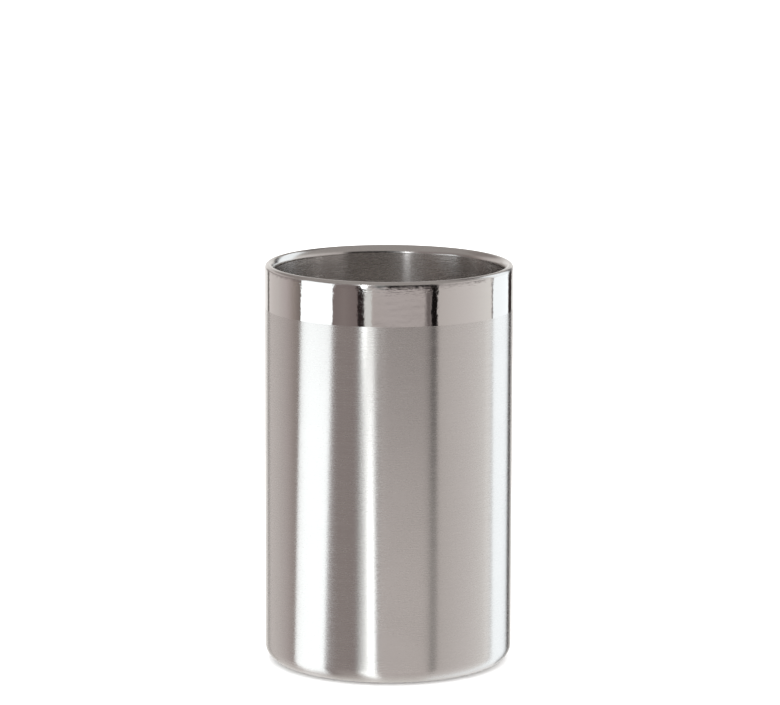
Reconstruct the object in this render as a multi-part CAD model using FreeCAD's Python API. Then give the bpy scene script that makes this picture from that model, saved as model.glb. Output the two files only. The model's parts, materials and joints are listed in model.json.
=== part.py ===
"""Double-wall bottle cooler: a stainless steel cup inside a stainless steel shell, joined at the rim.

Units are millimetres. The Z axis is the cooler's axis of symmetry, with Z = 0 on the surface that it
stands on. Every sheet metal piece is a thin band of constant thickness, turned round the Z axis.
"""

import FreeCAD, Part
import math
import os

# Overall sizes
overall_height = 195.0      # resting surface to the top of the rim
body_diameter = 120.0       # outside of the shell

# Sheet thicknesses and the air gap between the walls
shell_sheet = 0.6
liner_sheet = 0.5
base_sheet = 0.6
air_gap = 3.4               # shell's inner face to the liner's outer face

# Rim, where the liner flares out over the shell
rim_bend_radius = 1.8       # outer edge of the rim
rim_flare_drop = 4.0        # height of the curve from the well's wall to the top of the rim
rim_weld_height = 0.6
rim_weld_root = 0.3         # how far the weld's root stands into the air gap

# Shell's lower edge and the flat ring that it ends in
shell_bend_radius = 7.5
shell_land = 1.0            # width of the flat ring
base_weld_width = 0.6

# Seam where the shell's sheet is rolled up and butt welded
seam_bead_radius = 1.6
seam_bead_height = 0.3      # how far the bead stands into the air gap
seam_bead_margin = 4.0      # left clear at each end of the straight wall
seam_degrees = 90.0         # where the seam stands, counted from +X

# Base plate, recessed so that the cooler doesn't rock
base_recess = 3.0
base_bend_radius = 2.0
base_rib_width = 6.0        # stiffening rib, just inside the foot ring
base_rib_height = 1.2
rib_slope = 1.2             # run of each sloping side of a rib
rib_bend_radius = 0.9       # inside its bends

# Foot ring, bonded under the base plate
foot_ring_width = 6.2
foot_proud = 0.4            # how far it stands below the steel
foot_clearance = 0.6        # to the base plate's bend and to its rib
foot_edge_radius = 0.6

# Vent hole in the base plate and the plug that shuts it
vent_diameter = 4.0
plug_head_diameter = 9.0
plug_head_height = 1.2
plug_barb_diameter = 6.0
plug_barb_height = 1.6
plug_edge_radius = 0.5

# Pad that carries the liner's floor
pad_thickness = 4.5
pad_inner_diameter = 24.0
pad_clearance = 3.5         # to the base plate's rib, outside the pad

# Liner's floor
liner_bend_radius = 8.0     # inside the corner between wall and floor
floor_groove_inset = 4.5    # from the corner's bend to the ring pressed into the floor
floor_groove_width = 5.0
floor_groove_depth = 0.8

# Sizes that follow from the ones above
body_radius = body_diameter / 2
shell_inner_radius = body_radius - shell_sheet
well_radius = shell_inner_radius - air_gap - liner_sheet
steel_bottom = foot_proud
base_under_height = steel_bottom + base_recess
base_top_height = base_under_height + base_sheet
liner_under_height = base_top_height + pad_thickness
floor_height = liner_under_height + liner_sheet
shell_opening_radius = body_radius - shell_bend_radius - shell_land
base_outer_radius = shell_opening_radius - base_weld_width
foot_outer_radius = base_outer_radius - base_bend_radius - foot_clearance
foot_inner_radius = foot_outer_radius - foot_ring_width
base_rib_radius = foot_inner_radius - foot_clearance - base_rib_width / 2
pad_outer_radius = base_rib_radius - base_rib_width / 2 - pad_clearance
floor_groove_radius = well_radius - liner_bend_radius - floor_groove_inset - floor_groove_width / 2
rim_weld_top = overall_height - rim_bend_radius
shell_top_height = rim_weld_top - rim_weld_height

# A bend of 45 degrees takes this share of its radius from the straight on each side of it.
HALF_BEND = math.tan(math.radians(22.5))

AXIS_POINT = FreeCAD.Vector(0, 0, 0)
AXIS = FreeCAD.Vector(0, 0, 1)


def point(radius, height):
    """A point of a section, in the plane that is turned round the Z axis."""
    return FreeCAD.Vector(radius, 0, height)


def turned(edges, degrees=360.0):
    """The solid that a closed section makes as it turns round the Z axis."""
    face = Part.Face(Part.Wire(Part.__sortEdges__(edges)))
    solid = face.revolve(AXIS_POINT, AXIS, degrees)
    if solid.Volume < 0:
        solid.reverse()
    return solid


def left_of(start, end):
    """Unit vector square to a run from start to end, on its left in the radius-height plane."""
    run = (end - start).normalize()
    return FreeCAD.Vector(-run.z, 0, run.x)


def offset_corners(corners, distance):
    """Corners of the path that runs parallel to the given one, on its left at that distance."""
    lines = []
    for start, end in zip(corners, corners[1:]):
        shift = left_of(start, end) * distance
        lines.append((start + shift, end + shift))
    moved = [lines[0][0]]
    for (a, b), (c, d) in zip(lines, lines[1:]):
        first, second = b - a, d - c
        cross = first.x * second.z - first.z * second.x
        along = ((c - a).x * second.z - (c - a).z * second.x) / cross
        moved.append(a + first * along)
    moved.append(lines[-1][1])
    return moved


def turn_sign(before, corner, after):
    """1 where a path turns left at a corner, and -1 where it turns right."""
    first, second = corner - before, after - corner
    return math.copysign(1.0, first.x * second.z - first.z * second.x)


def bent_path(corners, radii):
    """Edges along a path whose corners are rounded, and its two ends. Runs of no length are left out."""
    edges = []
    here = corners[0]
    for before, corner, after, radius in zip(corners, corners[1:], corners[2:], radii):
        back = (before - corner).normalize()
        onward = (after - corner).normalize()
        half_angle = math.acos(max(-1.0, min(1.0, back.dot(onward)))) / 2
        reach = radius / math.tan(half_angle)
        arc_start, arc_end = corner + back * reach, corner + onward * reach
        bisector = (back + onward).normalize()
        middle = corner + bisector * (radius / math.sin(half_angle) - radius)
        if (arc_start - here).Length > 1e-6:
            edges.append(Part.LineSegment(here, arc_start).toShape())
        edges.append(Part.Arc(arc_start, middle, arc_end).toShape())
        here = arc_end
    if (corners[-1] - here).Length > 1e-6:
        edges.append(Part.LineSegment(here, corners[-1]).toShape())
    return edges


def sheet(corners, radii, thickness):
    """A turned sheet. The corners and bend radii are of one face, and the sheet lies on their left."""
    other = offset_corners(corners, thickness)
    other_radii = [
        radius - turn_sign(before, corner, after) * thickness
        for before, corner, after, radius in zip(corners, corners[1:], corners[2:], radii)
    ]
    edges = bent_path(corners, radii) + bent_path(other, other_radii)
    edges.append(Part.LineSegment(corners[0], other[0]).toShape())
    edges.append(Part.LineSegment(corners[-1], other[-1]).toShape())
    return turned(edges)


def closed(corners):
    """Straight edges round a section."""
    return [
        Part.LineSegment(a, b).toShape() for a, b in zip(corners, corners[1:] + corners[:1])
    ]


def raised_ring(middle_radius, width, height, level):
    """Corners of a rib (or, with a negative height, a groove), from its outer side to its inner side."""
    outer, inner = middle_radius + width / 2, middle_radius - width / 2
    return [
        point(outer, level),
        point(outer - rib_slope, level + height),
        point(inner + rib_slope, level + height),
        point(inner, level),
    ]


def ring_bends(height, thickness):
    """Radii of the upper face at a ring's four corners, where every bend has the same inside radius."""
    inside, outside = rib_bend_radius, rib_bend_radius + thickness
    if height > 0:
        return [inside, outside, outside, inside]
    return [outside, inside, inside, outside]


def outer_shell():
    """Rolled tube whose lower edge is spun inwards to a narrow flat ring."""
    corners = [
        point(body_radius, shell_top_height),
        point(body_radius, steel_bottom),
        point(shell_opening_radius, steel_bottom),
    ]
    return sheet(corners, [shell_bend_radius], -shell_sheet)


def inner_liner():
    """Drawn cup. Its wall flares outwards over the rim and turns down to meet the shell."""
    reach = body_radius - rim_bend_radius - well_radius
    # The flare is two bends of 45 degrees that make up its reach and its drop.
    difference = (rim_flare_drop - reach) / HALF_BEND
    upper_radius = reach - difference * (1 - math.sin(math.radians(45)))
    lower_radius = upper_radius + difference
    flare_start = overall_height - rim_flare_drop
    groove = raised_ring(floor_groove_radius, floor_groove_width, -floor_groove_depth, floor_height)
    corners = [
        point(body_radius, rim_weld_top),
        point(body_radius, overall_height),
        point(well_radius + reach - upper_radius * HALF_BEND, overall_height),
        point(well_radius, flare_start + lower_radius * HALF_BEND),
        point(well_radius, floor_height),
        *groove,
        point(0, floor_height),
    ]
    groove_bends = ring_bends(-floor_groove_depth, liner_sheet)
    radii = [rim_bend_radius, upper_radius, lower_radius, liner_bend_radius, *groove_bends]
    return sheet(corners, radii, liner_sheet)


def rim_weld():
    """Butt weld between the liner's turned-down edge and the shell, flush outside."""
    top_inner = point(body_radius - liner_sheet, rim_weld_top)
    bottom_inner = point(shell_inner_radius, shell_top_height)
    root = point(shell_inner_radius - rim_weld_root, (rim_weld_top + shell_top_height) / 2)
    top_outer = point(body_radius, rim_weld_top)
    bottom_outer = point(body_radius, shell_top_height)
    return turned([
        Part.LineSegment(bottom_outer, top_outer).toShape(),
        Part.LineSegment(top_outer, top_inner).toShape(),
        Part.Arc(top_inner, root, bottom_inner).toShape(),
        Part.LineSegment(bottom_inner, bottom_outer).toShape(),
    ])


def shell_seam_bead():
    """Root of the seam weld, standing proud of the shell's inner face only."""
    low = steel_bottom + shell_bend_radius + seam_bead_margin
    high = shell_top_height - seam_bead_margin
    middle_radius = shell_inner_radius - seam_bead_height + seam_bead_radius
    rod = Part.makeCylinder(seam_bead_radius, high - low, point(middle_radius, low))
    inside = Part.makeCylinder(shell_inner_radius, high - low, point(0, low))
    bead = rod.common(inside)
    bead.rotate(AXIS_POINT, AXIS, seam_degrees)
    return bead.Solids[0]


def base_plate():
    """Pressed plate with a skirt that is edge welded into the shell. The rib stands up from it."""
    corners = [
        point(base_outer_radius, steel_bottom),
        point(base_outer_radius, base_top_height),
        *raised_ring(base_rib_radius, base_rib_width, base_rib_height, base_top_height),
        point(vent_diameter / 2, base_top_height),
    ]
    bends = [base_bend_radius, *ring_bends(base_rib_height, base_sheet)]
    return sheet(corners, bends, base_sheet)


def base_weld():
    """Ring of weld between the shell's turned-in edge and the base plate's skirt."""
    top = steel_bottom + shell_sheet
    return turned(closed([
        point(base_outer_radius, steel_bottom),
        point(shell_opening_radius, steel_bottom),
        point(shell_opening_radius, top),
        point(base_outer_radius, top),
    ]))


def foot_ring():
    """Soft ring that the cooler stands on, between the base plate's bend and its rib."""
    corners = [
        point(foot_outer_radius, base_under_height),
        point(foot_outer_radius, 0),
        point(foot_inner_radius, 0),
        point(foot_inner_radius, base_under_height),
    ]
    edges = bent_path(corners, [foot_edge_radius, foot_edge_radius])
    edges.append(Part.LineSegment(corners[-1], corners[0]).toShape())
    return turned(edges)


def vent_plug():
    """Soft plug: a domed head under the base plate, a stem in the vent hole and a barb above it."""
    stem = vent_diameter / 2
    head = plug_head_diameter / 2
    head_bottom = base_under_height - plug_head_height
    barb_top = base_top_height + plug_barb_height
    corners = [
        point(0, head_bottom),
        point(head, head_bottom),
        point(head, base_under_height),
        point(stem, base_under_height),
        point(stem, base_top_height),
        point(plug_barb_diameter / 2, base_top_height),
        point(stem / 2, barb_top),
        point(0, barb_top),
    ]
    edges = bent_path(corners[:3], [plug_edge_radius])
    for a, b in zip(corners[2:], corners[3:] + corners[:1]):
        edges.append(Part.LineSegment(a, b).toShape())
    return turned(edges)


def support_pad():
    """Foam ring between the base plate and the liner's floor."""
    return turned(closed([
        point(pad_inner_diameter / 2, base_top_height),
        point(pad_outer_radius, base_top_height),
        point(pad_outer_radius, liner_under_height),
        point(pad_inner_diameter / 2, liner_under_height),
    ]))


def main():
    os.makedirs("parts", exist_ok=True)
    nodes = {
        "outer_shell": outer_shell(),
        "shell_seam_bead": shell_seam_bead(),
        "inner_liner": inner_liner(),
        "rim_weld": rim_weld(),
        "base_plate": base_plate(),
        "base_weld": base_weld(),
        "foot_ring": foot_ring(),
        "vent_plug": vent_plug(),
        "support_pad": support_pad(),
    }
    for name, shape in nodes.items():
        if not shape.isValid():
            raise ValueError(f"{name} isn't a valid solid")
        shape.exportStep(f"parts/{name}.step")
        box = shape.BoundBox
        print(
            f"{name}: {len(shape.Solids)} solid(s), {shape.Volume:.0f} mm3, radius {box.XMax:.2f},"
            f" Z {box.ZMin:.2f} to {box.ZMax:.2f}"
        )
    print(f"well {2 * well_radius:.1f} mm across, floor {floor_height:.1f} mm up")


main()
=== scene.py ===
"""Studio picture of a double-wall stainless steel bottle cooler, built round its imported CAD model.

Everything is in metres, +Z up, with the cooler standing on Z = 0 and its axis on the Z axis. Each
visible piece is a section turned round that axis. A section is a path of corners with a bend at each,
whose places come from the boxes of the CAD nodes and from the bends named below.
"""

import json
import math

import bpy
from mathutils import Matrix, Vector, noise


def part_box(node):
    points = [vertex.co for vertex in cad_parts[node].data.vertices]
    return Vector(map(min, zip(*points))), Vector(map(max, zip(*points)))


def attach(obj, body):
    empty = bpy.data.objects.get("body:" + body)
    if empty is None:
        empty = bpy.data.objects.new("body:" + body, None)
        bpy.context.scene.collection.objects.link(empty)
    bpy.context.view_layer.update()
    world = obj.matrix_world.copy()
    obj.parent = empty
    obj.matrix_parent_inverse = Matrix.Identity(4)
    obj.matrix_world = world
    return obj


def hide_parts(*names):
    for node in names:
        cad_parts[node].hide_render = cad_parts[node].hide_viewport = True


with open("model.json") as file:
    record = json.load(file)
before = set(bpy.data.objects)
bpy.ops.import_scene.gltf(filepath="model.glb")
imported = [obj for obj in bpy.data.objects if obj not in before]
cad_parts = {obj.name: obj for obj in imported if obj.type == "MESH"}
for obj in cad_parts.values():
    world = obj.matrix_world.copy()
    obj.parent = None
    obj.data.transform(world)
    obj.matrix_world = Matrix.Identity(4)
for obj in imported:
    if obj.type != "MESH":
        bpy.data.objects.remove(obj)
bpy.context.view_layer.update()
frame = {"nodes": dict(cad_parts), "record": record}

MM = 0.001

# Sheets, bends and small parts, as in the CAD model
SHELL_SHEET = 0.6 * MM
LINER_SHEET = 0.5 * MM
BASE_SHEET = 0.6 * MM
RIM_BEND = 1.8 * MM
FLARE_DROP = 4.0 * MM
SHELL_BEND = 7.5 * MM
LINER_BEND = 8.0 * MM
BASE_BEND = 2.0 * MM
RIB_BEND = 0.9 * MM
RIB_SLOPE = 1.2 * MM
RIB_WIDTH = 6.0 * MM
GROOVE_WIDTH = 5.0 * MM
GROOVE_DEPTH = 0.8 * MM
GROOVE_INSET = 4.5 * MM
FOOT_WIDTH = 6.2 * MM
FOOT_EDGE = 0.6 * MM
FOOT_CLEARANCE = 0.6 * MM
VENT_RADIUS = 2.0 * MM
WELD_WIDTH = 0.6 * MM
WELD_ROOT = 0.3 * MM

# Finish, which the CAD model doesn't have
WELD_HOLLOW = 0.08 * MM       # how far the base weld's face is sunk in its middle
BAND_HEIGHT = 21.2 * MM       # polished band, from the top of the rim down
BAND_ROWS = 36                # of the mesh, in the polished band
WAVE_DEPTH = 0.03 * MM        # slow unevenness of the hand polished band
WAVE_LENGTH = 16 * MM
WAVE_FADE = 3 * MM
EASED_DEPTH = 0.07 * MM       # the polished wall leans in this far at the rim
EASED_REACH = 3.6 * MM        # and not at all from this far below the top of the rim
MOP_REACH = 10 * MM           # the mop's lines grow stronger over this height, up to the rim

# How much each kind of line or ripple counts for in the steel
LONG_LINE_SHARE = 0.65
SHORT_LINE_RELIEF = 0.4
RIPPLE_RELIEF = 8.0
MOP_RELIEF = 1.0
MOP_RELIEF_AT_RIM = 24.0

# Turned meshes
SAME_PLACE = 1e-7             # points closer than this are one
FLARE_TOLERANCE = 1e-6        # when looking for the flare's end among the points
SEGMENTS = 288
ARC_STEP = math.radians(7.5)
LONGEST_RUN = 4 * MM          # longer straight runs are divided
SHARP_ANGLE = math.radians(40)
HALF_BEND = math.tan(math.radians(22.5))    # reach of a 45 degree bend of radius 1

# Camera
CAMERA_DISTANCE = 2.073
CAMERA_HEIGHT = 0.5206
CAMERA_PITCH = math.radians(10.106)
CAMERA_ROLL = math.radians(0.18)
CAMERA_LENS = 200.8
CAMERA_SENSOR = 36
CAMERA_SHIFT = 0.0014

# Floor
FLOOR_SIZE = 12.0


# ---------------------------------------------------------------- sizes from the frame

def node_box(name):
    """Outer radius, lowest and highest point of a turned CAD node."""
    low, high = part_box(name)
    return (high[0] - low[0]) / 2, low[2], high[2]


shell_radius, steel_bottom, shell_top = node_box("outer_shell")
_, _, rim_top = node_box("inner_liner")
base_radius, _, rib_top = node_box("base_plate")
foot_radius, foot_bottom, base_under = node_box("foot_ring")
plug_radius, plug_bottom, plug_top = node_box("vent_plug")
well = next(m for m in frame["record"]["mounts"] if m["name"] == "bottle_well")
well_radius = well["dims"]["r_mm"] * MM
rim_weld_top = rim_top - RIM_BEND
base_top = base_under + BASE_SHEET
opening_radius = base_radius + WELD_WIDTH
pad_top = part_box("support_pad")[1][2]
floor_level = pad_top + LINER_SHEET
foot_inner = foot_radius - FOOT_WIDTH
rib_middle = foot_inner - FOOT_CLEARANCE - RIB_WIDTH / 2
groove_middle = well_radius - LINER_BEND - GROOVE_INSET - GROOVE_WIDTH / 2


# ---------------------------------------------------------------- turned sections

def turn_sign(before, corner, after):
    """1 where a path turns left at a corner, and -1 where it turns right."""
    first = corner - before
    second = after - corner
    return math.copysign(1.0, first.x * second.y - first.y * second.x)


def offset_corners(corners, distance):
    """Corners of the path that runs parallel to the given one, on its left at that distance."""
    lines = []
    for start, end in zip(corners, corners[1:]):
        run = (end - start).normalized()
        shift = Vector((-run.y, run.x)) * distance
        lines.append((start + shift, end + shift))
    moved = [lines[0][0]]
    for (a, b), (c, d) in zip(lines, lines[1:]):
        first = b - a
        second = d - c
        cross = first.x * second.y - first.y * second.x
        along = ((c - a).x * second.y - (c - a).y * second.x) / cross
        moved.append(a + first * along)
    moved.append(lines[-1][1])
    return moved


def rounded(corners, radii):
    """Points along a path with rounded corners, close together on its bends and on its straights."""
    points = [corners[0]]
    for before, corner, after, radius in zip(corners, corners[1:], corners[2:], radii):
        back = (before - corner).normalized()
        onward = (after - corner).normalized()
        half_angle = back.angle(onward) / 2
        reach = radius / math.tan(half_angle)
        centre = corner + (back + onward).normalized() * (radius / math.sin(half_angle))
        first = corner + back * reach - centre
        sweep = (math.pi - 2 * half_angle) * turn_sign(before, corner, after)
        steps = max(2, math.ceil(abs(sweep) / ARC_STEP))
        for step in range(steps + 1):
            turned = first.copy()
            turned.rotate(Matrix.Rotation(sweep * step / steps, 2))
            points.append(centre + turned)
    points.append(corners[-1])
    return divided(points)


def divided(points):
    """The same path with no run longer than LONGEST_RUN, and no point twice."""
    result = [points[0]]
    for point in points[1:]:
        start = result[-1]
        length = (point - start).length
        if length < SAME_PLACE:
            continue
        steps = math.ceil(length / LONGEST_RUN)
        result += [start.lerp(point, step / steps) for step in range(1, steps + 1)]
    return result


def sheet_section(corners, radii, thickness):
    """Both faces of a sheet as one closed path, with the sheet on the left of the given corners."""
    other_radii = [
        radius - turn_sign(before, corner, after) * thickness
        for before, corner, after, radius in zip(corners, corners[1:], corners[2:], radii)
    ]
    other = rounded(offset_corners(corners, thickness), other_radii)
    return rounded(corners, radii), other[::-1]


def turned_mesh(name, stretches, slots=(0,), wave=None):
    """A mesh from path stretches that follow each other round a section, turned about the Z axis.

    slots gives each stretch its material index. The points keep how far along the section they lie,
    which the brushed materials read.
    """
    rows, along, row_slot = [], [], []
    travelled = 0.0
    for number, stretch in enumerate(stretches):
        for point in stretch:
            if rows and (point - rows[-1]).length < SAME_PLACE:
                row_slot[-1] = slots[number % len(slots)]
                continue
            travelled += (point - rows[-1]).length if rows else 0.0
            rows.append(point)
            along.append(travelled)
            row_slot.append(slots[number % len(slots)])
    if (rows[0] - rows[-1]).length < SAME_PLACE:
        for ends in (rows, along, row_slot):
            ends.pop()
    vertices, faces, face_slots, lengths, rings = [], [], [], [], []
    for point, distance in zip(rows, along):
        if point.x < SAME_PLACE:
            rings.append([len(vertices)] * SEGMENTS)
            vertices.append((0.0, 0.0, point.y))
            lengths.append(distance)
            continue
        ring = []
        for segment in range(SEGMENTS):
            angle = 2 * math.pi * segment / SEGMENTS
            radius = point.x - (wave(angle, point) if wave else 0.0)
            ring.append(len(vertices))
            vertices.append((radius * math.cos(angle), radius * math.sin(angle), point.y))
            lengths.append(distance)
        rings.append(ring)
    for number, lower in enumerate(rings):
        upper = rings[(number + 1) % len(rings)]
        if lower[0] == lower[1] and upper[0] == upper[1]:
            continue
        for segment in range(SEGMENTS):
            following = (segment + 1) % SEGMENTS
            face = [lower[segment], lower[following], upper[following], upper[segment]]
            faces.append(list(dict.fromkeys(face)))
            face_slots.append(row_slot[number])
    mesh = bpy.data.meshes.new(name)
    mesh.from_pydata(vertices, [], faces)
    mesh.attributes.new("along", "FLOAT", "POINT").data.foreach_set("value", lengths)
    mesh.polygons.foreach_set("material_index", face_slots)
    mesh.shade_smooth()
    mesh.set_sharp_from_angle(angle=SHARP_ANGLE)
    mesh.update()
    piece = bpy.data.objects.new(name, mesh)
    bpy.context.scene.collection.objects.link(piece)
    return piece


def stand_for(piece, node, materials):
    """Puts a turned piece in the place of its CAD node."""
    for material in materials:
        piece.data.materials.append(material)
    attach(piece, "root")
    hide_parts(node)


def ring_corners(middle, width, height, level):
    """Corners of a rib, or of a groove if the height is negative, from its outer to its inner side."""
    outer = middle + width / 2
    inner = middle - width / 2
    return [
        Vector((outer, level)),
        Vector((outer - RIB_SLOPE, level + height)),
        Vector((inner + RIB_SLOPE, level + height)),
        Vector((inner, level)),
    ]


def ring_bends(height, thickness):
    """Radii of the upper face at a ring's four corners, where every bend has the same inside radius."""
    inside = RIB_BEND
    outside = RIB_BEND + thickness
    return [inside, outside, outside, inside] if height > 0 else [outside, inside, inside, outside]


# ---------------------------------------------------------------- node trees

class Tree:
    """Short ways to add and join shader nodes."""

    def __init__(self, owner):
        owner.use_nodes = True
        self.tree = owner.node_tree
        self.tree.nodes.clear()

    def node(self, kind, inputs=None, **settings):
        made = self.tree.nodes.new(kind)
        for name, value in settings.items():
            setattr(made, name, value)
        for name, value in (inputs or {}).items():
            self.put(made.inputs[name], value)
        return made

    def put(self, socket, value):
        if isinstance(value, bpy.types.NodeSocket):
            self.tree.links.new(value, socket)
        else:
            socket.default_value = value

    def maths(self, operation, a, b=0.0, clamp=False):
        return self.node("ShaderNodeMath", {0: a, 1: b}, operation=operation, use_clamp=clamp).outputs[0]

    def ramp(self, value, low, high, to_low=0.0, to_high=1.0, smooth=True):
        kind = "SMOOTHSTEP" if smooth else "LINEAR"
        inputs = {"Value": value, "From Min": low, "From Max": high, "To Min": to_low, "To Max": to_high}
        return self.node("ShaderNodeMapRange", inputs, interpolation_type=kind).outputs["Result"]

    def window(self, value, low, high, soft):
        """1 between low and high, and 0 outside, with edges as wide as soft."""
        rise = self.ramp(value, low - soft / 2, low + soft / 2)
        fall = self.ramp(value, high - soft / 2, high + soft / 2, 1.0, 0.0)
        return self.maths("MULTIPLY", rise, fall)

    def mix(self, factor, a, b):
        made = self.node("ShaderNodeMix", data_type="RGBA")
        self.put(made.inputs[0], factor)
        self.put(made.inputs[6], a)
        self.put(made.inputs[7], b)
        return made.outputs[2]


def new_tree(name):
    material = bpy.data.materials.new(name)
    return material, Tree(material)


def turned_place(tree, round_the_axis, across):
    """A place for noise: so many units round the axis, and so many for each metre along the section."""
    place = tree.node("ShaderNodeTexCoord").outputs["Object"]
    flat = tree.node("ShaderNodeVectorMath", {0: place, 1: (1, 1, 0)}, operation="MULTIPLY").outputs[0]
    unit = tree.node("ShaderNodeVectorMath", {0: flat}, operation="NORMALIZE").outputs[0]
    scaled = tree.node("ShaderNodeVectorMath", {0: unit, "Scale": round_the_axis}, operation="SCALE")
    along = tree.node("ShaderNodeAttribute", attribute_name="along").outputs["Fac"]
    height = tree.node("ShaderNodeCombineXYZ", {"Z": tree.maths("MULTIPLY", along, across)}).outputs[0]
    return tree.node("ShaderNodeVectorMath", {0: scaled.outputs[0], 1: height}).outputs[0]


def streaks(tree, round_the_axis, across, detail=2.0):
    """Noise drawn out round the axis, from 0 to 1."""
    inputs = {"Vector": turned_place(tree, round_the_axis, across), "Scale": 1.0, "Detail": detail}
    return tree.node("ShaderNodeTexNoise", inputs).outputs["Fac"]


def brushed_steel(name, colour, roughness, anisotropy, line_depth):
    """Steel with hairlines round the axis, which spread its reflections up and down."""
    material, tree = new_tree(name)
    long_lines = streaks(tree, 4.0, 3600.0, 2.0)
    short_lines = streaks(tree, 20.0, 3000.0, 2.0)
    sparkle = streaks(tree, 60.0, 2800.0, 1.0)
    patches = streaks(tree, 2.0, 60.0, 2.0)
    long_part = tree.maths("MULTIPLY", long_lines, LONG_LINE_SHARE)
    short_part = tree.maths("MULTIPLY", short_lines, 1 - LONG_LINE_SHARE)
    lines = tree.maths("ADD", long_part, short_part)
    shade = tree.ramp(lines, 0.3, 0.7, 0.95, 1.04, smooth=False)
    tone = tree.node("ShaderNodeVectorMath", {0: colour, "Scale": shade}, operation="SCALE").outputs[0]
    grain = tree.ramp(lines, 0.3, 0.7, roughness * 0.88, roughness * 1.12, smooth=False)
    worn = tree.ramp(patches, 0.3, 0.7, 0.96, 1.04, smooth=False)
    relief = tree.maths("ADD", tree.maths("MULTIPLY", short_lines, SHORT_LINE_RELIEF), sparkle)
    bump = tree.node("ShaderNodeBump", {"Strength": 1.0, "Distance": line_depth, "Height": relief})
    tangent = tree.node("ShaderNodeTangent", direction_type="RADIAL", axis="Z").outputs[0]
    shader = tree.node("ShaderNodeBsdfPrincipled", {
        "Base Color": tone,
        "Metallic": 1.0,
        "Roughness": tree.maths("MULTIPLY", grain, worn),
        "Anisotropic": anisotropy,
        "Anisotropic Rotation": 0.25,
        "Tangent": tangent,
        "Normal": bump.outputs[0],
    })
    tree.node("ShaderNodeOutputMaterial", {"Surface": shader.outputs[0]})
    return material


def polished_steel(name, colour, roughness, ripple_depth):
    """Mirror polished steel, with the faint lines of the mop round it and the ripple of the hand."""
    material, tree = new_tree(name)
    place = tree.node("ShaderNodeTexCoord").outputs["Object"]
    ripple = tree.node("ShaderNodeTexNoise", {"Vector": place, "Scale": 420.0, "Detail": 3.0}).outputs["Fac"]
    lines = streaks(tree, 22.0, 1300.0, 2.0)
    smears = streaks(tree, 4.0, 500.0, 3.0)
    level = tree.node("ShaderNodeSeparateXYZ", {0: place}).outputs[2]
    near_rim = tree.ramp(level, rim_top - MOP_REACH, rim_top - RIM_BEND, MOP_RELIEF, MOP_RELIEF_AT_RIM)
    ripples = tree.maths("MULTIPLY", ripple, RIPPLE_RELIEF)
    height = tree.maths("ADD", ripples, tree.maths("MULTIPLY", lines, near_rim))
    bump = tree.node("ShaderNodeBump", {"Strength": 1.0, "Distance": ripple_depth, "Height": height})
    tangent = tree.node("ShaderNodeTangent", direction_type="RADIAL", axis="Z").outputs[0]
    shader = tree.node("ShaderNodeBsdfPrincipled", {
        "Base Color": tree.mix(smears, tuple(c * 0.97 for c in colour) + (1,), tuple(colour) + (1,)),
        "Metallic": 1.0,
        "Roughness": tree.ramp(smears, 0.35, 0.7, roughness * 0.7, roughness * 1.4, smooth=False),
        "Anisotropic": 0.97,
        "Anisotropic Rotation": 0.25,
        "Tangent": tangent,
        "Normal": bump.outputs[0],
    })
    tree.node("ShaderNodeOutputMaterial", {"Surface": shader.outputs[0]})
    return material


def satin_steel(name, colour, roughness, mottle_scale):
    """Pressed sheet as it comes from the mill: even, with a fine mottle."""
    material, tree = new_tree(name)
    place = tree.node("ShaderNodeTexCoord").outputs["Object"]
    inputs = {"Vector": place, "Scale": mottle_scale, "Detail": 5.0}
    mottle = tree.node("ShaderNodeTexNoise", inputs).outputs["Fac"]
    bump = tree.node("ShaderNodeBump", {"Strength": 0.4, "Distance": 0.004 * MM, "Height": mottle})
    shader = tree.node("ShaderNodeBsdfPrincipled", {
        "Base Color": tree.mix(mottle, tuple(c * 0.9 for c in colour) + (1,), tuple(colour) + (1,)),
        "Metallic": 1.0,
        "Roughness": tree.ramp(mottle, 0.3, 0.7, roughness * 0.85, roughness * 1.15, smooth=False),
        "Normal": bump.outputs[0],
    })
    tree.node("ShaderNodeOutputMaterial", {"Surface": shader.outputs[0]})
    return material


def weld_steel(name, colour, ripples):
    """Weld metal: ripples along the bead, straw and grey heat tints."""
    material, tree = new_tree(name)
    place = tree.node("ShaderNodeTexCoord").outputs["Object"]
    mottle = tree.node("ShaderNodeTexNoise", {"Vector": place, "Scale": 900.0, "Detail": 3.0}).outputs["Fac"]
    beads = streaks(tree, ripples, 300.0, 1.0)
    bump = tree.node("ShaderNodeBump", {"Strength": 0.8, "Distance": 0.03 * MM, "Height": beads})
    straw = tuple(c * k for c, k in zip(colour, (1.0, 0.9, 0.72))) + (1,)
    shader = tree.node("ShaderNodeBsdfPrincipled", {
        "Base Color": tree.mix(mottle, straw, tuple(colour) + (1,)),
        "Metallic": 1.0,
        "Roughness": tree.ramp(mottle, 0.3, 0.7, 0.28, 0.45, smooth=False),
        "Normal": bump.outputs[0],
    })
    tree.node("ShaderNodeOutputMaterial", {"Surface": shader.outputs[0]})
    return material


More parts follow.
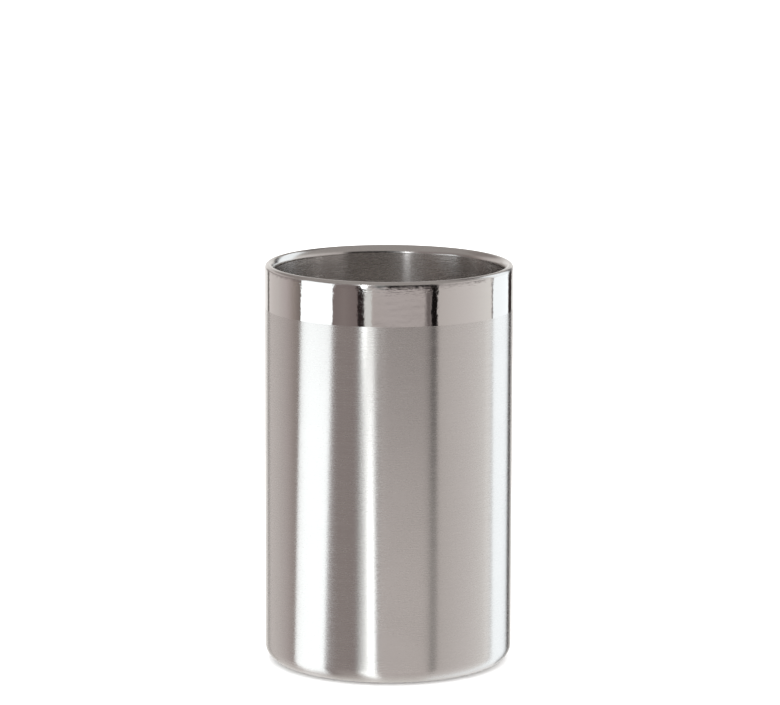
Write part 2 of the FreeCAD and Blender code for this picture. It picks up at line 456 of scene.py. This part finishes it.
def soft_material(name, colour, roughness, grain_scale, grain_depth, contrast=0.25):
    """Rubber or foam: a fine cellular grain and slightly uneven colour."""
    material, tree = new_tree(name)
    place = tree.node("ShaderNodeTexCoord").outputs["Object"]
    grain = tree.node("ShaderNodeTexVoronoi", {"Vector": place, "Scale": grain_scale}).outputs["Distance"]
    cloud = tree.node("ShaderNodeTexNoise", {"Vector": place, "Scale": 120.0, "Detail": 4.0}).outputs["Fac"]
    bump = tree.node("ShaderNodeBump", {"Strength": 0.7, "Distance": grain_depth, "Height": grain})
    pale = tuple(c * (1 + contrast) for c in colour) + (1,)
    shader = tree.node("ShaderNodeBsdfPrincipled", {
        "Base Color": tree.mix(cloud, tuple(colour) + (1,), pale),
        "Roughness": tree.ramp(cloud, 0.3, 0.7, roughness - 0.06, roughness + 0.06, smooth=False),
        "Normal": bump.outputs[0],
    })
    tree.node("ShaderNodeOutputMaterial", {"Surface": shader.outputs[0]})
    return material


# ---------------------------------------------------------------- pieces

STEEL = (0.62, 0.605, 0.58)
# The inside is the same steel as the outside, with its colour painted lighter: painted light standing in for
# light that falls into the well.
INSIDE_STEEL_PAINTED_LIGHTER = (0.74, 0.715, 0.69)


def share(value, low, high):
    """How far a value lies on the way from low to high, kept between 0 and 1."""
    return min(1.0, max(0.0, (value - low) / (high - low)))


def hand_polish(angle, point):
    """How far the mop has taken the outside in: a slow unevenness, and an eased edge under the rim."""
    depth = rim_top - point.y
    outside = share(point.x, shell_radius - 2 * RIM_BEND, shell_radius - RIM_BEND)
    eased = EASED_DEPTH * outside * share(depth, EASED_REACH, RIM_BEND) ** 2
    fade_top = share(depth, RIM_BEND, RIM_BEND + WAVE_FADE)
    fade_bottom = share(depth, BAND_HEIGHT, BAND_HEIGHT - WAVE_FADE)
    place = Vector((math.cos(angle) * shell_radius, math.sin(angle) * shell_radius, point.y))
    uneven = WAVE_DEPTH * (0.5 + 0.5 * noise.noise(place / WAVE_LENGTH)) * fade_top * fade_bottom
    return eased + uneven


def make_shell(brushed, polished, hidden):
    """The outside is divided finely where it is polished, for the mop's unevenness."""
    band_bottom = rim_top - BAND_HEIGHT
    corners = [
        Vector((shell_radius, band_bottom)),
        Vector((shell_radius, steel_bottom)),
        Vector((opening_radius, steel_bottom)),
    ]
    inner = rounded(
        [
            Vector((opening_radius, steel_bottom + SHELL_SHEET)),
            Vector((shell_radius - SHELL_SHEET, steel_bottom + SHELL_SHEET)),
            Vector((shell_radius - SHELL_SHEET, shell_top)),
        ],
        [SHELL_BEND - SHELL_SHEET],
    )
    band_top = Vector((shell_radius, shell_top))
    band = [band_top.lerp(corners[0], step / BAND_ROWS) for step in range(BAND_ROWS + 1)]
    stretches = [band, rounded(corners, [SHELL_BEND]), inner]
    shell = turned_mesh("shell_wall", stretches, (1, 0, 2), hand_polish)
    stand_for(shell, "outer_shell", [brushed, polished, hidden])


def liner_corners():
    """Corners and bends of the liner's upper face, from the rim's skirt to the middle of the floor.

    The flare is two bends, which meet at 45 degrees.
    """
    reach = shell_radius - RIM_BEND - well_radius
    difference = (FLARE_DROP - reach) / HALF_BEND
    upper_radius = reach - difference * (1 - math.sin(math.radians(45)))
    lower_radius = upper_radius + difference
    corners = [
        Vector((shell_radius, rim_weld_top)),
        Vector((shell_radius, rim_top)),
        Vector((well_radius + reach - upper_radius * HALF_BEND, rim_top)),
        Vector((well_radius, rim_top - FLARE_DROP + lower_radius * HALF_BEND)),
        Vector((well_radius, floor_level)),
        *ring_corners(groove_middle, GROOVE_WIDTH, -GROOVE_DEPTH, floor_level),
        Vector((0, floor_level)),
    ]
    bends = [RIM_BEND, upper_radius, lower_radius, LINER_BEND, *ring_bends(-GROOVE_DEPTH, LINER_SHEET)]
    return corners, bends


def make_liner(rim, inside, hidden):
    corners, bends = liner_corners()
    upper, lower = sheet_section(corners, bends, LINER_SHEET)
    flare_end = rim_top - FLARE_DROP + FLARE_TOLERANCE
    first_inside = next(number for number, point in enumerate(upper) if point.y < flare_end)
    stretches = [upper[: first_inside + 1], upper[first_inside:], lower]
    liner = turned_mesh("liner_cup", stretches, (0, 1, 2), hand_polish)
    stand_for(liner, "inner_liner", [rim, inside, hidden])


def make_rim_weld(rim):
    inner = shell_radius - SHELL_SHEET
    corners = [
        Vector((shell_radius, rim_weld_top)),
        Vector((shell_radius, shell_top)),
        Vector((inner, shell_top)),
        Vector((inner - WELD_ROOT, (shell_top + rim_weld_top) / 2)),
        Vector((inner, rim_weld_top)),
        Vector((shell_radius, rim_weld_top)),
    ]
    weld = turned_mesh("rim_weld_ring", [corners], wave=hand_polish)
    stand_for(weld, "rim_weld", [rim])


def make_base_plate(steel):
    corners = [
        Vector((base_radius, steel_bottom)),
        Vector((base_radius, base_top)),
        *ring_corners(rib_middle, RIB_WIDTH, rib_top - base_top, base_top),
        Vector((VENT_RADIUS, base_top)),
    ]
    bends = [BASE_BEND, *ring_bends(1, BASE_SHEET)]
    plate = turned_mesh("base_dish", sheet_section(corners, bends, BASE_SHEET))
    stand_for(plate, "base_plate", [steel])


def make_base_weld(weld):
    """The bead's lower face is slightly hollow between the shell's edge and the plate's."""
    middle = (opening_radius + base_radius) / 2
    corners = [
        Vector((base_radius, steel_bottom)),
        Vector((middle, steel_bottom + WELD_HOLLOW)),
        Vector((opening_radius, steel_bottom)),
        Vector((opening_radius, steel_bottom + SHELL_SHEET)),
        Vector((base_radius, steel_bottom + SHELL_SHEET)),
        Vector((base_radius, steel_bottom)),
    ]
    ring = turned_mesh("base_weld_ring", [corners])
    stand_for(ring, "base_weld", [weld])


def make_foot(rubber):
    corners = [
        Vector((foot_radius, base_under)),
        Vector((foot_radius, foot_bottom)),
        Vector((foot_inner, foot_bottom)),
        Vector((foot_inner, base_under)),
    ]
    ring = turned_mesh("foot_band", [rounded(corners, [FOOT_EDGE, FOOT_EDGE]), [corners[0]]])
    stand_for(ring, "foot_ring", [rubber])


def make_plug(rubber):
    """A low domed head, a stem in the vent hole and a barb above the plate."""
    head_edge = Vector((plug_radius, base_under))
    dome = [
        Vector((plug_radius * math.sin(a), base_under - (base_under - plug_bottom) * math.cos(a) ** 0.6))
        for a in (math.radians(10 * step) for step in range(9))
    ]
    rest = [
        head_edge,
        Vector((VENT_RADIUS, base_under)),
        Vector((VENT_RADIUS, base_top)),
        Vector((1.5 * VENT_RADIUS, base_top)),
        Vector((VENT_RADIUS / 2, plug_top)),
        Vector((0, plug_top)),
    ]
    plug = turned_mesh("vent_plug_body", [dome, rest])
    stand_for(plug, "vent_plug", [rubber])


# ---------------------------------------------------------------- studio

# What reflections see all round the cooler. The tones, cards and lights were set for the
# stripes that the steel shows from the front. Angles are in degrees: round the cooler from the
# camera's side, with the right positive, and above the horizon. The walls run into each other.
WALLS = [
    (-180, (1.04, 1.01, 0.99)),
    (-158, (1.04, 1.01, 0.99)),
    (-150, (0.87, 0.83, 0.81)),
    (-140, (0.82, 0.76, 0.75)),
    (-125, (0.76, 0.71, 0.7)),
    (-110, (0.64, 0.57, 0.57)),
    (-98, (0.41, 0.35, 0.33)),
    (-90, (0.27, 0.23, 0.22)),
    (-56, (0.27, 0.22, 0.22)),
    (-42, (0.32, 0.27, 0.265)),
    (-28, (0.255, 0.205, 0.205)),
    (-18, (0.64, 0.58, 0.57)),
    (0, (0.65, 0.59, 0.59)),
    (44, (0.62, 0.56, 0.555)),
    (48, (0.72, 0.67, 0.66)),
    (80, (0.86, 0.81, 0.81)),
    (104, (1.0, 0.97, 0.96)),
    (112, (1.04, 1.0, 0.99)),
    (156, (1.0, 0.98, 0.96)),
    (180, (0.98, 0.96, 0.94)),
]

# name: side angles from and to, height angles from and to, softness of the sides, colour. Where
# cards overlap, the later one covers the earlier. A card that passes 180 degrees ends there.
CARDS = {
    "back_ceiling_right": (150, 200, 20, 50, 6.0, (0.42, 0.39, 0.38)),
    "high_right": (110, 160, 44, 55, 4.0, (0.2, 0.18, 0.18)),
    "back_ceiling_left": (-150, -100, 22, 45, 6.0, (0.36, 0.32, 0.31)),
    "left_table": (-60, -29, -88, -24, 4.0, (0.5, 0.45, 0.44)),
    "left_gap": (-156, -14, -5.0, 0.5, 3.0, (0.26, 0.22, 0.22)),
    "right_gap": (45, 100, -4.5, 0.5, 3.0, (0.34, 0.31, 0.31)),
    "camera_gap": (-14, 45, -6.8, 21, 3.0, (0.012, 0.01, 0.01)),
    "left_flag": (-29, -22.5, -18, 4, 1.5, (0.03, 0.02, 0.02)),
    "key_glow": (-22.5, -16, -22, -5.5, 3.0, (0.93, 0.94, 0.94)),
    "key_on_table": (-29, -14, -78, -18, 6.0, (2.3, 2.4, 2.45)),
    "right_flag_shade": (34, 40, -14, -5, 5.0, (0.2, 0.17, 0.17)),
    "right_flag": (39.4, 45.5, -30, 22, 1.2, (0.01, 0.008, 0.008)),
    "right_edge_flag": (110, 112.5, -24, 2, 1.0, (0.35, 0.33, 0.33)),
    "right_softbox": (112.5, 144.5, -70, 40, 2.0, (1.44, 1.52, 1.6)),
    "back_right_flag": (145.5, 158, -30, 20, 2.5, (0.05, 0.04, 0.04)),
    "back_left_flag": (-153.5, -147.5, -30, 6, 2.0, (0.25, 0.23, 0.22)),
}
CARD_HEIGHT_SOFTNESS = 4      # of a card's top and bottom

FLOOR_TONE = (0.86, 0.82, 0.8)
FLOOR_ANGLES = (-50, -85)
CEILING_TONE = (0.45, 0.42, 0.41)
CEILING_ANGLES = (8, 35)
BACKDROP = (1.0, 1.0, 1.0)    # what the camera sees
DOME = (2.4, 2.4, 2.4)        # what lights matt surfaces

# name: side angle, distance from the axis and to the right, height, size, lean, radiance, colour
LIGHTS = {
    "left_softbox": (-73, (0.35, -0.012), -0.1, (0.206, 0.7), -14.5, 1.6, (0.92, 1.0, 1.05)),
    "key_light": (-20, (0.23, 0.0), 0.225, (0.016, 0.1), 0.0, 5.5, (0.95, 1.0, 1.04)),
    "key_halo": (-7.5, (0.23, 0.0), 0.225, (0.04, 0.12), 0.0, 0.22, (0.97, 1.0, 1.02)),
    "key_low": (-13.2, (0.25, 0.0), -0.01, (0.024, 0.18), 7.0, 1.9, (0.94, 1.0, 1.06)),
    "table_glow": (18, (0.27, -0.008), -0.015, (0.238, 0.17), 0.0, 0.35, (1.0, 0.95, 0.93)),
}


def make_world():
    """White for the camera, an even dome for matt surfaces, and the walls and cards for reflections."""
    world = bpy.data.worlds.new("studio")
    bpy.context.scene.world = world
    tree = Tree(world)
    direction = tree.node("ShaderNodeTexCoord").outputs["Generated"]
    parts = tree.node("ShaderNodeSeparateXYZ", {0: direction}).outputs
    side = tree.maths("ARCTAN2", parts[0], tree.maths("MULTIPLY", parts[1], -1.0))
    side = tree.maths("DEGREES", side)
    height = tree.maths("DEGREES", tree.maths("ARCSINE", parts[2]))
    ramp = tree.node("ShaderNodeValToRGB", {"Fac": tree.ramp(side, -180, 180, smooth=False)})
    for _ in WALLS[2:]:
        ramp.color_ramp.elements.new(0.5)
    for stop, (angle, colour) in zip(ramp.color_ramp.elements, WALLS):
        stop.position = (angle + 180) / 360
        stop.color = (*colour, 1)
    tone = ramp.outputs["Color"]
    tone = tree.mix(tree.ramp(height, *CEILING_ANGLES), tone, (*CEILING_TONE, 1))
    tone = tree.mix(tree.ramp(height, *FLOOR_ANGLES), tone, (*FLOOR_TONE, 1))
    for left, right, low, high, soft, colour in CARDS.values():
        across = tree.window(side, left, right, soft)
        up = tree.window(height, low, high, CARD_HEIGHT_SOFTNESS)
        tone = tree.mix(tree.maths("MULTIPLY", across, up), tone, (*colour, 1))
    path = tree.node("ShaderNodeLightPath").outputs
    plain = tree.mix(path["Is Camera Ray"], (*DOME, 1), (*BACKDROP, 1))
    seen = tree.mix(path["Is Glossy Ray"], plain, tone)
    light = tree.node("ShaderNodeBackground", {"Color": seen, "Strength": 1.0})
    tree.node("ShaderNodeOutputWorld", {"Surface": light.outputs[0]})
    world.cycles.sampling_method = "NONE"


def make_floor():
    """A plain pale floor, which the steel doesn't reflect."""
    material, tree = new_tree("pale_floor")
    shader = tree.node("ShaderNodeBsdfPrincipled", {
        "Base Color": (0.8, 0.8, 0.8, 1), "Roughness": 1.0, "Specular IOR Level": 0.0,
    })
    tree.node("ShaderNodeOutputMaterial", {"Surface": shader.outputs[0]})
    half = FLOOR_SIZE / 2
    corners = [(-half, -half, 0), (half, -half, 0), (half, half, 0), (-half, half, 0)]
    mesh = bpy.data.meshes.new("floor")
    mesh.from_pydata(corners, [], [(0, 1, 2, 3)])
    mesh.materials.append(material)
    floor = bpy.data.objects.new("floor", mesh)
    floor.visible_glossy = False
    floor.visible_shadow = False
    bpy.context.scene.collection.objects.link(floor)


def make_light(name, side, distance, height, size, lean, radiance, colour):
    """A rectangular light for reflections only, which faces the axis and leans to one side."""
    light = bpy.data.lights.new(name, "AREA")
    light.shape = "RECTANGLE"
    light.size, light.size_y = size
    light.energy = radiance * math.pi * size[0] * size[1]
    light.color = colour
    lamp = bpy.data.objects.new(name, light)
    bpy.context.scene.collection.objects.link(lamp)
    angle = math.radians(side)
    place = Vector((math.sin(angle) * distance[0], -math.cos(angle) * distance[0], height))
    across = Vector((math.cos(angle), math.sin(angle), 0)) * distance[1]
    turn = Matrix.Rotation(angle, 4, "Z") @ Matrix.Rotation(math.pi / 2, 4, "X")
    leaning = Matrix.Rotation(math.radians(lean), 4, "Z")
    lamp.matrix_world = Matrix.Translation(place + across) @ turn @ leaning
    lamp.visible_camera = False
    lamp.visible_diffuse = False


def make_camera():
    camera = bpy.data.objects.new("camera", bpy.data.cameras.new("camera"))
    bpy.context.scene.collection.objects.link(camera)
    camera.data.lens = CAMERA_LENS
    camera.data.sensor_width = CAMERA_SENSOR
    camera.data.shift_x = CAMERA_SHIFT
    tilt = Matrix.Rotation(math.pi / 2 - CAMERA_PITCH, 4, "X") @ Matrix.Rotation(CAMERA_ROLL, 4, "Z")
    camera.matrix_world = Matrix.Translation((0, -CAMERA_DISTANCE, CAMERA_HEIGHT)) @ tilt
    bpy.context.scene.camera = camera


def carry_over(node, material):
    """Gives a CAD node that keeps its own shape a better material."""
    piece = frame["nodes"][node]
    piece.data.materials.clear()
    piece.data.materials.append(material)


# ---------------------------------------------------------------- making

make_camera()
make_world()
make_floor()
for name, settings in LIGHTS.items():
    make_light(name, *settings)
bpy.context.scene.view_settings.view_transform = "Standard"

brushed = brushed_steel("brushed_outside", STEEL, 0.26, 1.0, 0.012 * MM)
band = polished_steel("polished_band", STEEL, 0.06, 0.003 * MM)
rim = satin_steel("buffed_rim", STEEL, 0.2, 700.0)
# The inner wall's colour is painted lighter than the outside's, as painted light inside the well.
inside = brushed_steel("brushed_inside_painted_lighter", INSIDE_STEEL_PAINTED_LIGHTER, 0.26, 0.93, 0.004 * MM)
sheet = satin_steel("mill_finish", STEEL, 0.4, 1500.0)
weld = weld_steel("weld_metal", (0.55, 0.53, 0.5), 260.0)

make_shell(brushed, band, sheet)
make_liner(rim, inside, sheet)
make_rim_weld(band)
make_base_plate(satin_steel("pressed_base", (0.6, 0.585, 0.57), 0.36, 2200.0))
make_base_weld(weld)
make_foot(soft_material("foot_rubber", (0.03, 0.03, 0.031), 0.72, 2600.0, 0.04 * MM))
make_plug(soft_material("plug_rubber", (0.07, 0.07, 0.075), 0.5, 4000.0, 0.02 * MM))
carry_over("shell_seam_bead", weld)
carry_over("support_pad", soft_material("foam", (0.8, 0.78, 0.74), 0.9, 1400.0, 0.15 * MM, 0.1))
